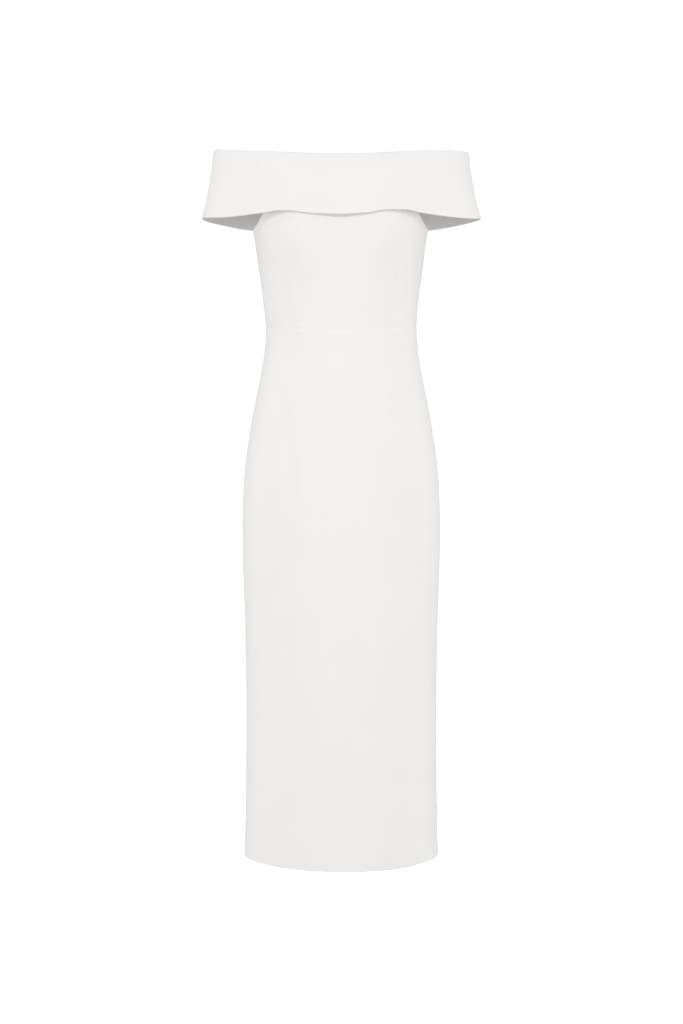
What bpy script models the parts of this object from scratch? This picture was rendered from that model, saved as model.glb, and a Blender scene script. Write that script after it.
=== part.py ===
"""Off-shoulder dress with a folded-over band round the upper arms and a straight skirt to the lower calf.

Sizes are in metres. Z is up, the front faces -Y and the dress's left side is at +X.
The origin is where the dress is held: on its middle line, level with the underarm seams.
Every sewn piece is one hollow wall of cloth. The walls follow one worked-out form and stand
a seam's width apart. The zip's pull tab is the only piece that turns.
"""
import math

import bmesh
import bpy
import numpy as np

# Cloth and seams
CLOTH = 0.0016            # wall of one thickness of crepe with its pressed seam allowances
HEM_CLOTH = 0.0024        # wall where the hem is turned up
HEM_TURN = 0.045          # height of the turned-up hem
BAND_CLOTH = 0.0026       # wall of the band, which is cloth folded double
SEAM = 0.0003             # space between two sewn pieces
ZIP_SPACE = 0.0006        # space between the two back edges over the zip

# Levels
UNDERARM = 0.0
WAIST = -0.1640
HEM = -1.0600
SLIT_TOP = -0.8600
SLIT_OPEN = 0.0060        # space between the slit's edges at the hem
BODICE_BELOW_FOLD = 0.0018

# The body of the dress, a row for each section
# level, half width, front depth, back depth, squareness, shift to the left side
BODY_COLUMNS = ("level", "half", "front", "back", "square", "shift")
BODY = [
    (0.1300, 0.2110, 0.1029, 0.0862, 2.30, 0.0000),
    (0.1180, 0.2100, 0.1041, 0.0869, 2.30, 0.0000),
    (0.0900, 0.1860, 0.1090, 0.0884, 2.27, 0.0000),
    (0.0600, 0.1680, 0.1132, 0.0895, 2.24, 0.0000),
    (0.0300, 0.1550, 0.1158, 0.0900, 2.21, -0.0006),
    (0.0000, 0.1466, 0.1162, 0.0896, 2.18, -0.0010),
    (-0.0351, 0.1417, 0.1134, 0.0880, 2.16, -0.0013),
    (-0.0618, 0.1380, 0.1090, 0.0866, 2.14, -0.0011),
    (-0.0886, 0.1342, 0.1044, 0.0852, 2.12, -0.0010),
    (-0.1154, 0.1307, 0.1004, 0.0840, 2.11, -0.0011),
    (-0.1422, 0.1279, 0.0972, 0.0830, 2.10, -0.0006),
    (-0.1640, 0.1264, 0.0952, 0.0826, 2.10, 0.0000),
    (-0.1960, 0.1286, 0.0965, 0.0872, 2.10, 0.0000),
    (-0.2498, 0.1374, 0.1005, 0.1016, 2.12, 0.0000),
    (-0.3038, 0.1483, 0.1040, 0.1142, 2.14, 0.0000),
    (-0.3579, 0.1574, 0.1064, 0.1212, 2.16, 0.0000),
    (-0.4120, 0.1641, 0.1080, 0.1236, 2.18, 0.0000),
    (-0.4392, 0.1659, 0.1086, 0.1234, 2.18, 0.0000),
    (-0.5000, 0.1674, 0.1097, 0.1216, 2.18, 0.0000),
    (-0.5479, 0.1669, 0.1105, 0.1197, 2.18, 0.0000),
    (-0.6024, 0.1653, 0.1114, 0.1179, 2.18, 0.0000),
    (-0.6845, 0.1629, 0.1127, 0.1160, 2.18, 0.0000),
    (-0.8217, 0.1618, 0.1146, 0.1144, 2.14, 0.0000),
    (-0.9043, 0.1624, 0.1162, 0.1140, 2.10, 0.0000),
    (-1.0149, 0.1645, 0.1182, 0.1146, 2.03, 0.0000),
    (-1.0700, 0.1664, 0.1192, 0.1152, 2.00, 0.0000),
]

# The band's section from its lower edge (0) to its fold (1)
BAND_COLUMNS = ("rise", "half", "front", "back", "square")
BAND = [
    (0.000, 0.2352, 0.1242, 0.1006, 1.72),
    (0.148, 0.2302, 0.1234, 0.1003, 1.73),
    (0.267, 0.2267, 0.1225, 0.0996, 1.75),
    (0.386, 0.2239, 0.1213, 0.0985, 1.79),
    (0.505, 0.2213, 0.1199, 0.0972, 1.85),
    (0.623, 0.2191, 0.1179, 0.0958, 1.93),
    (0.742, 0.2171, 0.1152, 0.0941, 2.04),
    (0.859, 0.2156, 0.1118, 0.0922, 2.17),
    (0.960, 0.2144, 0.1086, 0.0906, 2.28),
    (1.000, 0.2132, 0.1072, 0.0899, 2.30),
]

# Heights of the dress's own edges, a row for each distance from the middle line
EDGE_COLUMNS = ("distance", "right", "left")
FOLD_FRONT = [
    (0.0000, 0.1164, 0.1164),
    (0.0450, 0.1173, 0.1176),
    (0.0850, 0.1193, 0.1200),
    (0.1130, 0.1214, 0.1220),
    (0.1530, 0.1240, 0.1246),
    (0.1840, 0.1272, 0.1264),
    (0.2040, 0.1306, 0.1272),
    (0.2132, 0.1326, 0.1276),
]
FOLD_BACK = [
    (0.0000, 0.1190, 0.1190),
    (0.0800, 0.1206, 0.1206),
    (0.1300, 0.1236, 0.1232),
    (0.1700, 0.1272, 0.1258),
    (0.2000, 0.1312, 0.1273),
    (0.2132, 0.1326, 0.1276),
]
EDGE_FRONT = [
    (0.0000, 0.0178, 0.0178),
    (0.0450, 0.0197, 0.0208),
    (0.0650, 0.0218, 0.0247),
    (0.0850, 0.0247, 0.0266),
    (0.1040, 0.0252, 0.0268),
    (0.1240, 0.0224, 0.0236),
    (0.1430, 0.0209, 0.0209),
    (0.1730, 0.0182, 0.0182),
    (0.1970, 0.0177, 0.0172),
    (0.2220, 0.0196, 0.0180),
    (0.2352, 0.0217, 0.0206),
]
EDGE_BACK = [
    (0.0000, 0.0020, 0.0020),
    (0.0900, 0.0026, 0.0026),
    (0.1510, 0.0054, 0.0060),
    (0.1790, 0.0083, 0.0090),
    (0.1990, 0.0118, 0.0122),
    (0.2190, 0.0152, 0.0158),
    (0.2337, 0.0192, 0.0192),
    (0.2352, 0.0217, 0.0206),
]
WAIST_FRONT = [
    (0.0000, -0.1660, -0.1660),
    (0.0700, -0.1652, -0.1650),
    (0.1264, -0.1640, -0.1618),
]
HEM_FRONT = [
    (0.0000, -1.0634, -1.0634),
    (0.0900, -1.0620, -1.0630),
    (0.1300, -1.0605, -1.0605),
    (0.1640, -1.0598, -1.0588),
]

# Seams and edges, a row for each level: distance from the middle line
PRINCESS = [(0.125, 0.0900), (0.080, 0.0965), (0.026, 0.1012), (-0.016, 0.0996),
            (-0.066, 0.0930), (-0.117, 0.0818), (-0.170, 0.0715)]
ARMHOLE_FRONT = [(0.000, 0.1466), (0.0035, 0.1420), (0.0109, 0.1358), (0.0208, 0.1292),
                 (0.030, 0.1245), (0.045, 0.1190), (0.080, 0.1140), (0.130, 0.1125)]
ARMHOLE_BACK = [(0.000, 0.1466), (0.0035, 0.1412), (0.010, 0.1345), (0.0244, 0.1260),
                (0.045, 0.1210), (0.080, 0.1190), (0.130, 0.1190)]

# Soft form on the cloth: where it is, how far it reaches and how high it stands
# side (+1 left, -1 right, 0 both), distance from the middle, level, spread across, spread down, height
FORM_COLUMNS = ("side", "x", "level", "across", "down", "height")
FRONT_FORM = [
    (0, 0.0760, -0.004, 0.040, 0.052, 0.0052),      # bust shaping of the side front seams
    (0, 0.0000, 0.000, 0.030, 0.060, -0.0020),      # cloth bridges flat between them
    (0, 0.1300, -0.050, 0.013, 0.034, -0.0022),     # hollow beside the underarm
    (0, 0.0785, -0.285, 0.016, 0.045, 0.0022),      # fullness let out below the waist darts
    (-1, 0.0880, -0.400, 0.012, 0.070, -0.0018),    # soft trough under the right dart
    (1, 0.1030, -0.330, 0.011, 0.040, -0.0016),     # soft trough under the left dart
    (-1, 0.0640, -0.420, 0.014, 0.075, 0.0012),
]
BACK_FORM = [
    (0, 0.0730, -0.300, 0.018, 0.045, 0.0020),      # fullness let out below the back waist darts
    (0, 0.0000, -0.060, 0.022, 0.090, -0.0012),     # the zip holds the centre back flat
]

# How finely each piece is cut up
BODICE_ROWS = 10
ARMHOLE_ROWS = 7
CENTRE_COLUMNS = 18
SIDE_COLUMNS = 9
BACK_COLUMNS = 14
SKIRT_ROWS = 25
SKIRT_FRONT_COLUMNS = 32
SKIRT_BACK_COLUMNS = 16
BAND_ROWS = 8
BAND_FRONT_COLUMNS = 50
BAND_BACK_COLUMNS = 25
SAMPLES = 361

# Zip
ZIP_HALF = 0.0105         # half the width of the two tapes together
ZIP_TAPE = 0.0010
TAPE_OFF = 0.0008         # space between the cloth and the tapes, for the stitched edges
ZIP_TOP = 0.1130
ZIP_BOTTOM = -0.3900
SLIDER_LEVEL = 0.1010
SLIDER_WIDE = 0.0050
SLIDER_TALL = 0.0085
SLIDER_THICK = 0.0016
PIN_RADIUS = 0.0005
PIN_OFF = 0.0043          # from the cloth to the pin's middle
EYE_HOLE = 0.00090
EYE_OUTER = 0.00185
TAB_THICK = 0.0012
TAB_LONG = 0.0200
TAB_WIDE = 0.0050
SLIDER_LEAN = 7.0         # degrees that the slider leans with the cloth
TAB_LEAN = 1.0            # degrees that the hanging tab leans out

# Colours
IVORY = (0.86, 0.855, 0.84)
TAPE_WHITE = (0.80, 0.80, 0.785)
METAL_WHITE = (0.78, 0.78, 0.765)


def smooth_curve(pairs):
    """A smooth line through a short table that never swings past its rows."""
    pairs = sorted(pairs)
    x = np.array([p[0] for p in pairs], float)
    y = np.array([p[1] for p in pairs], float)
    h = np.diff(x)
    slope = np.diff(y) / h
    d = np.zeros(len(x))
    for i in range(1, len(x) - 1):
        if slope[i - 1] * slope[i] > 0:
            w1 = 2 * h[i] + h[i - 1]
            w2 = h[i] + 2 * h[i - 1]
            d[i] = (w1 + w2) / (w1 / slope[i - 1] + w2 / slope[i])
    d[0] = slope[0]
    d[-1] = slope[-1]

    def at(v):
        v = min(max(float(v), x[0]), x[-1])
        i = min(int(np.searchsorted(x, v, side="right")) - 1, len(x) - 2)
        i = max(i, 0)
        t = (v - x[i]) / h[i]
        a = (1 + 2 * t) * (1 - t) ** 2 * y[i] + t * (1 - t) ** 2 * h[i] * d[i]
        b = t * t * (3 - 2 * t) * y[i + 1] + t * t * (t - 1) * h[i] * d[i + 1]
        return a + b

    return at


def columns(table, names, key):
    """One smooth line for each named column of a table."""
    k = names.index(key)
    return {n: smooth_curve([(row[k], row[i]) for row in table])
            for i, n in enumerate(names) if n != key}


body_line = columns(BODY, BODY_COLUMNS, "level")
band_line = columns(BAND, BAND_COLUMNS, "rise")


def edge_line(rows):
    """Height of an edge at a place across the dress, from a table with a column for each side."""
    right = smooth_curve([(r[0], r[1]) for r in rows])
    left = smooth_curve([(r[0], r[2]) for r in rows])
    return lambda x: left(x) if x >= 0 else right(-x)


fold_front = edge_line(FOLD_FRONT)
fold_back = edge_line(FOLD_BACK)
edge_front = edge_line(EDGE_FRONT)
edge_back = edge_line(EDGE_BACK)
waist_front = edge_line(WAIST_FRONT)
hem_front = edge_line(HEM_FRONT)
princess = smooth_curve(PRINCESS)
armhole_front = smooth_curve(ARMHOLE_FRONT)
armhole_back = smooth_curve(ARMHOLE_BACK)

angles = np.linspace(0.0, math.pi / 2, SAMPLES)
quarters = {}


def quarter(half, depth, square):
    """A quarter of a section from its middle line to its side: distances across, back, and the way round."""
    key = (round(half, 7), round(depth, 7), round(square, 5))
    if key not in quarters:
        x = half * np.sin(angles) ** (2 / square)
        y = depth * np.cos(angles) ** (2 / square)
        x[-1] = half
        y[-1] = 0.0
        way = np.concatenate([[0.0], np.cumsum(np.hypot(np.diff(x), np.diff(y)))])
        quarters[key] = (x, y, way)
    return quarters[key]


def plain_section(q, half, front, back, square):
    """The point at q: 0 centre front, 1 left side, 2 centre back, less than 0 on the right side."""
    side = 1.0 if q >= 0 else -1.0
    q = abs(q)
    if q <= 1:
        x, y, way = quarter(half, front, square)
        r = q * way[-1]
        return side * np.interp(r, way, x), -np.interp(r, way, y)
    x, y, way = quarter(half, back, square)
    r = (2 - q) * way[-1]
    return side * np.interp(r, way, x), np.interp(r, way, y)


def form_height(x, z, front):
    """Height of the soft form over the plain sections."""
    total = 0.0
    for side, mid, level, across, down, height in (FRONT_FORM if front else BACK_FORM):
        if side * x < 0:
            continue
        total += height * math.exp(-((abs(x) - mid) / across) ** 2 - ((z - level) / down) ** 2)
    return total


def body_plain(q, z):
    at = {n: f(z) for n, f in body_line.items()}
    x, y = plain_section(q, at["half"], at["front"], at["back"], at["square"])
    return np.array([x + at["shift"], y, z])


def body_point(q, z):
    """A point on the outside of the dress's body."""
    p = body_plain(q, z)
    h = form_height(p[0], z, abs(q) <= 1)
    out = np.array([p[0] * 0.5, p[1], 0.0])
    return p + out / np.linalg.norm(out) * h


def band_section(q, v):
    at = {n: f(v) for n, f in band_line.items()}
    return plain_section(q, at["half"], at["front"], at["back"], at["square"])


def band_point(q, v):
    """A point on the outside of the band at v from its lower edge to its fold."""
    x, y = band_section(q, v)
    front = abs(q) <= 1
    low = (edge_front if front else edge_back)(band_section(q, 0.0)[0])
    high = (fold_front if front else fold_back)(band_section(q, 1.0)[0])
    return np.array([x, y, low + (high - low) * v])


def normal(point, q, t):
    """The outward direction of the cloth at a point."""
    dq = 1e-3
    dt = 1e-3
    along = point(q + dq, t) - point(q - dq, t)
    up = point(q, min(t + dt, 1.0) if point is band_point else t + dt) - point(q, t - dt)
    n = np.cross(along, up)
    return n / np.linalg.norm(n)


def q_at(z, x, front=True):
    """How far round the section a distance from the middle line is, at a level."""
    at = {n: f(z) for n, f in body_line.items()}
    depth = at["front"] if front else at["back"]
    xs, _, way = quarter(at["half"], depth, at["square"])
    r = np.interp(min(x, at["half"]), xs, way) / way[-1]
    return r if front else 2 - r


def way_round(z, front=True):
    """Length of a quarter of the section at a level."""
    at = {n: f(z) for n, f in body_line.items()}
    return quarter(at["half"], at["front"] if front else at["back"], at["square"])[2][-1]


def hem_level(q):
    """Level of the skirt's lower edge: the front dips a little, the back is level with the side seams."""
    x = plain_section(q, 0.164, 0.119, 0.115, 2.1)[0]
    if abs(q) <= 1:
        return hem_front(x)
    return hem_front(math.copysign(0.164, q))


def waist_level(q):
    """Level of the waist seam round the dress."""
    x = plain_section(q, 0.1264, 0.095, 0.083, 2.1)[0]
    if abs(q) <= 1:
        return waist_front(x)
    side = waist_front(math.copysign(0.1264, q))
    return WAIST + (side - WAIST) * (2 - abs(q)) ** 2


def material(name, colour, rough, metal=0.0):
    m = bpy.data.materials.new(name)
    m.use_nodes = True
    shader = m.node_tree.nodes["Principled BSDF"]
    shader.inputs["Base Color"].default_value = (*colour, 1.0)
    shader.inputs["Roughness"].default_value = rough
    shader.inputs["Metallic"].default_value = metal
    m.diffuse_color = (*colour, 1.0)
    return m


def finish(name, verts, faces, mat, smooth=True, origin=(0.0, 0.0, 0.0)):
    """Make the named object, with its faces turned outwards."""
    mesh = bpy.data.meshes.new(name)
    o = np.array(origin)
    mesh.from_pydata([tuple(np.array(v) - o) for v in verts], [], faces)
    bm = bmesh.new()
    bm.from_mesh(mesh)
    bmesh.ops.remove_doubles(bm, verts=bm.verts, dist=1e-7)
    bmesh.ops.recalc_face_normals(bm, faces=bm.faces)
    for f in bm.faces:
        f.smooth = smooth
    bm.to_mesh(mesh)
    bm.free()
    mesh.materials.append(mat)
    obj = bpy.data.objects.new(name, mesh)
    obj.location = origin
    bpy.context.scene.collection.objects.link(obj)
    return obj


def wall(name, outer, inner, mat, top_roll=0.0):
    """A closed wall of cloth between two grids of points, with a rounded top edge where asked."""
    rows, cols, _ = outer.shape
    verts = [tuple(p) for p in outer.reshape(-1, 3)] + [tuple(p) for p in inner.reshape(-1, 3)]
    n = rows * cols

    def o(r, c):
        return r * cols + c

    def i(r, c):
        return n + r * cols + c

    faces = []
    for r in range(rows - 1):
        for c in range(cols - 1):
            faces.append((o(r, c), o(r, c + 1), o(r + 1, c + 1), o(r + 1, c)))
            faces.append((i(r, c), i(r + 1, c), i(r + 1, c + 1), i(r, c + 1)))
    for c in range(cols - 1):
        faces.append((o(0, c), i(0, c), i(0, c + 1), o(0, c + 1)))
    last = rows - 1
    if top_roll:
        ridge = len(verts)
        for c in range(cols):
            mid = (outer[last, c] + inner[last, c]) / 2
            verts.append((mid[0], mid[1], mid[2] + top_roll))
        for c in range(cols - 1):
            faces.append((o(last, c), o(last, c + 1), ridge + c + 1, ridge + c))
            faces.append((ridge + c, ridge + c + 1, i(last, c + 1), i(last, c)))
    else:
        for c in range(cols - 1):
            faces.append((o(last, c), o(last, c + 1), i(last, c + 1), i(last, c)))
    for r in range(last):
        faces.append((o(r, 0), o(r + 1, 0), i(r + 1, 0), i(r, 0)))
        faces.append((o(r, cols - 1), i(r, cols - 1), i(r + 1, cols - 1), o(r + 1, cols - 1)))
    if top_roll:
        faces.append((o(last, 0), ridge, i(last, 0)))
        faces.append((o(last, cols - 1), i(last, cols - 1), ridge + cols - 1))
    obj = finish(name, verts, faces, mat)
    mark_edges(obj)
    return obj


def mark_edges(obj):
    """Keep the cut edges crisp while the cloth is shaded smooth."""
    bm = bmesh.new()
    bm.from_mesh(obj.data)
    for e in bm.edges:
        if len(e.link_faces) == 2 and e.calc_face_angle(0.0) > math.radians(48):
            e.smooth = False
    bm.to_mesh(obj.data)
    bm.free()


def body_wall(name, grid, mat):
    """A wall of the dress's body over a grid of places on it."""
    rows = len(grid)
    cols = len(grid[0])
    outer = np.zeros((rows, cols, 3))
    inner = np.zeros((rows, cols, 3))
    for r in range(rows):
        for c in range(cols):
            q, z = grid[r][c]
            p = body_point(q, z)
            n = normal(body_point, q, z)
            thick = CLOTH
            if z < HEM + HEM_TURN + 1e-6:
                thick = HEM_CLOTH
            outer[r, c] = p
            inner[r, c] = p - n * thick
    return wall(name, outer, inner, mat)


def patch(low, high, left, right, rows, cols):
    """A grid between four edges, each a function from 0 to 1 to a place on the body."""
    grid = []
    corner = {(a, b): np.array((low, high)[b](float(a))) for a in (0, 1) for b in (0, 1)}
    for r in range(rows + 1):
        v = r / rows
        line = []
        for c in range(cols + 1):
            s = c / cols
            edge = (1 - v) * np.array(low(s)) + v * np.array(high(s))
            side = (1 - s) * np.array(left(v)) + s * np.array(right(v))
            flat = ((1 - s) * (1 - v) * corner[(0, 0)] + s * (1 - v) * corner[(1, 0)]
                    + (1 - s) * v * corner[(0, 1)] + s * v * corner[(1, 1)])
            line.append(tuple(edge + side - flat))
        grid.append(line)
    return grid


def armhole_run(front, top):
    """The armhole's edge from the underarm to the neckline, evenly along its length."""
    edge = armhole_front if front else armhole_back
    levels = np.concatenate([np.linspace(0, 0.012, 60), np.linspace(0.0125, top, 120)])
    pts = [body_plain(q_at(z, edge(z), front), z) for z in levels]
    way = np.concatenate([[0.0], np.cumsum([np.linalg.norm(b - a) for a, b in zip(pts, pts[1:])])])
    qs = [q_at(z, edge(z), front) for z in levels]
    qs[0] = 1.0

    def at(v):
        r = v * way[-1]
        return np.interp(r, way, qs), np.interp(r, way, levels)

    return at


def neck_level(q, front=True):
    """Top of the bodice, just under the band's fold."""
    z = 0.118
    for _ in range(3):
        x = body_plain(q, z)[0]
        z = (fold_front if front else fold_back)(x) - BODICE_BELOW_FOLD
    return z


def on_side(grid, side):
    """The grid of a left piece, turned over for the right side."""
    if side > 0:
        return grid
    return [[(-q, z) for q, z in row[::-1]] for row in grid]


def inset(z, front=True, space=SEAM):
    """Half of a seam's space as a part of the way round."""
    return space / 2 / way_round(z, front)


def front_corner(side):
    """Where the front armhole meets the neckline."""
    z = 0.118
    for _ in range(8):
        z = fold_front(side * armhole_front(z)) - BODICE_BELOW_FOLD
    return z


def back_corner(side):
    z = 0.118
    for _ in range(8):
        z = fold_back(side * armhole_back(z)) - BODICE_BELOW_FOLD
    return z


def bodice_level(q, r):
    """Level of a bodice row below the underarm, from the waist seam up."""
    low = waist_level(q) + SEAM / 2
    return low + (UNDERARM - low) * r / BODICE_ROWS


def princess_q(z):
    return q_at(z, princess(z))


def bodice_centre():
    """Centre front of the bodice, between the two side front seams."""
    grid = []
    for r in range(BODICE_ROWS):
        line = []
        for c in range(CENTRE_COLUMNS + 1):
            s = -1 + 2 * c / CENTRE_COLUMNS
            z = bodice_level(s * princess_q(WAIST), r)
            line.append((s * (princess_q(z) - inset(z)), z))
        grid.append(line)
    edge_top = princess_q(0.116) - inset(0.116)
    for r in range(ARMHOLE_ROWS + 1):
        v = r / ARMHOLE_ROWS
        line = []
        for c in range(CENTRE_COLUMNS + 1):
            s = -1 + 2 * c / CENTRE_COLUMNS
            z = UNDERARM + (neck_level(s * edge_top) - UNDERARM) * v
            edge = princess_q(z) - inset(z)
            line.append((s * edge, z))
        grid.append(line)
    return grid


def bodice_side(side):
    """Side front of the bodice, from the side front seam to the side seam and armhole."""
    grid = []
    for r in range(BODICE_ROWS):
        line = []
        for c in range(SIDE_COLUMNS + 1):
            s = c / SIDE_COLUMNS
            start = princess_q(WAIST)
            z = bodice_level(side * (start + (1 - start) * s), r)
            a = princess_q(z) + inset(z)
            line.append((a + (1 - inset(z) - a) * s, z))
        grid.append(line)
    corner_z = front_corner(side)
    arm = armhole_run(True, corner_z)
    start = princess_q(UNDERARM) + inset(UNDERARM)
    inner_q = princess_q(0.1175) + inset(0.1175)
    inner_z = neck_level(side * inner_q)

    def low(s):
        return start + (1 - inset(UNDERARM) - start) * s, UNDERARM

    def high(s):
        a = np.array([princess_q(inner_z) + inset(inner_z), inner_z])
        b = np.array(arm(1.0))
        return tuple(a + (b - a) * s)

    def left(v):
        z = UNDERARM + (inner_z - UNDERARM) * v
        return princess_q(z) + inset(z), z

    def right(v):
        q, z = arm(v)
        return min(q, 1 - inset(UNDERARM)), z

    return on_side(grid + patch(low, high, left, right, ARMHOLE_ROWS, SIDE_COLUMNS), side)


def bodice_back(side):
    """Back of the bodice, from the side seam and armhole to the zip at the centre back."""
    grid = []
    for r in range(BODICE_ROWS):
        line = []
        for c in range(BACK_COLUMNS + 1):
            s = c / BACK_COLUMNS
            z = bodice_level(side * (1.0001 + 0.9999 * s), r)
            a = 1 + inset(z, False)
            line.append((a + (2 - inset(z, False, ZIP_SPACE) - a) * s, z))
        grid.append(line)
    corner_z = back_corner(side)
    arm = armhole_run(False, corner_z)
    centre_z = fold_back(0.0) - BODICE_BELOW_FOLD
    seam = inset(UNDERARM, False)

    def low(s):
        a = 1 + seam
        b = 2 - inset(UNDERARM, False, ZIP_SPACE)
        return a + (b - a) * s, UNDERARM

    def right(v):
        z = UNDERARM + (centre_z - UNDERARM) * v
        return 2 - inset(z, False, ZIP_SPACE), z

    def left(v):
        q, z = arm(v)
        return max(q, 1 + seam), z

    def high(s):
        a = np.array(arm(1.0))
        b = np.array(right(1.0))
        q = a[0] + (b[0] - a[0]) * s
        if s in (0.0, 1.0):
            return q, (a[1] if s == 0.0 else centre_z)
        return q, neck_level(side * q, False)

    return on_side(grid + patch(low, high, left, right, ARMHOLE_ROWS, BACK_COLUMNS), side)


def skirt_levels(q):
    """Levels down the skirt, closer together over the hip and at the turned-up hem."""
    top = waist_level(q) - SEAM / 2
    low = hem_level(q)
    turn = HEM + HEM_TURN
    rows = SKIRT_ROWS - 3
    levels = []
    for i in range(rows + 1):
        t = i / rows
        levels.append(turn + (top - turn) * (1 - (1 - t) ** 1.0 * (0.55 + 0.45 * (1 - t))) if t else turn)
    levels[-1] = top
    below = [low, turn - 0.020, turn - 0.0004]
    return below + levels


def skirt_front():
    grid = [[] for _ in range(SKIRT_ROWS + 1)]
    for c in range(SKIRT_FRONT_COLUMNS + 1):
        s = -1 + 2 * c / SKIRT_FRONT_COLUMNS
        for r, z in enumerate(skirt_levels(s)):
            grid[r].append((s * (1 - inset(z)), z))
    return grid


def back_space(z):
    """Space between the two back edges: over the zip, in the sewn seam and down the slit."""
    if z > ZIP_BOTTOM:
        return ZIP_SPACE
    if z > SLIT_TOP:
        return SEAM
    return SEAM + (SLIT_OPEN - SEAM) * ((SLIT_TOP - z) / (SLIT_TOP - HEM)) ** 1.4


def skirt_back(side):
    grid = [[] for _ in range(SKIRT_ROWS + 1)]
    for c in range(SKIRT_BACK_COLUMNS + 1):
        s = c / SKIRT_BACK_COLUMNS
        for r, z in enumerate(skirt_levels(side * (1.0001 + 0.9999 * s))):
            a = 1 + inset(z, False)
            b = 2 - inset(z, False, back_space(z))
            grid[r].append((a + (b - a) * s, z))
    return on_side(grid, side)


def band_wall(name, first, last, cols, mat):
    """A stretch of the band, with its fold rolled over at the top."""
    outer = np.zeros((BAND_ROWS + 1, cols + 1, 3))
    inner = np.zeros((BAND_ROWS + 1, cols + 1, 3))
    for r in range(BAND_ROWS + 1):
        v = r / BAND_ROWS
        for c in range(cols + 1):
            q = first + (last - first) * c / cols
            p = band_point(q, v)
            n = normal(band_point, q, v)
            n = np.array([n[0], n[1], 0.0]) / math.hypot(n[0], n[1])
            outer[r, c] = p - n * (0.0005 if r == BAND_ROWS else 0.0)
            inner[r, c] = p - n * BAND_CLOTH
    return wall(name, outer, inner, mat, top_roll=0.0009)


def zip_tape(mat):
    """The two tapes with their coil, sewn behind the back edges."""
    rows = 44
    across = [-ZIP_HALF, -0.0016, 0.0016, ZIP_HALF]
    outer = np.zeros((rows + 1, len(across), 3))
    inner = np.zeros((rows + 1, len(across), 3))
    off = CLOTH + TAPE_OFF
    for r in range(rows + 1):
        z = ZIP_BOTTOM + (ZIP_TOP - ZIP_BOTTOM) * r / rows
        for c, x in enumerate(across):
            q = 2 - abs(x) / way_round(z, False)
            q = q if x > 0 else -q
            p = body_point(q, z)
            n = normal(body_point, q, z)
            coil = 0.0006 if 0 < c < 3 else 0.0
            outer[r, c] = p - n * off
            inner[r, c] = p - n * (off + ZIP_TAPE + coil)
    return wall("zip_tape", outer[:, ::-1], inner[:, ::-1], mat)


def pin_place():
    """The pull tab's pin at the centre back, in front of the cloth by its own height."""
    low = fold_back(0.0) - edge_back(0.0)
    v = (SLIDER_LEVEL - edge_back(0.0)) / low
    p = band_point(2.0, v)
    return np.array([0.0, p[1] + PIN_OFF, SLIDER_LEVEL])


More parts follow.
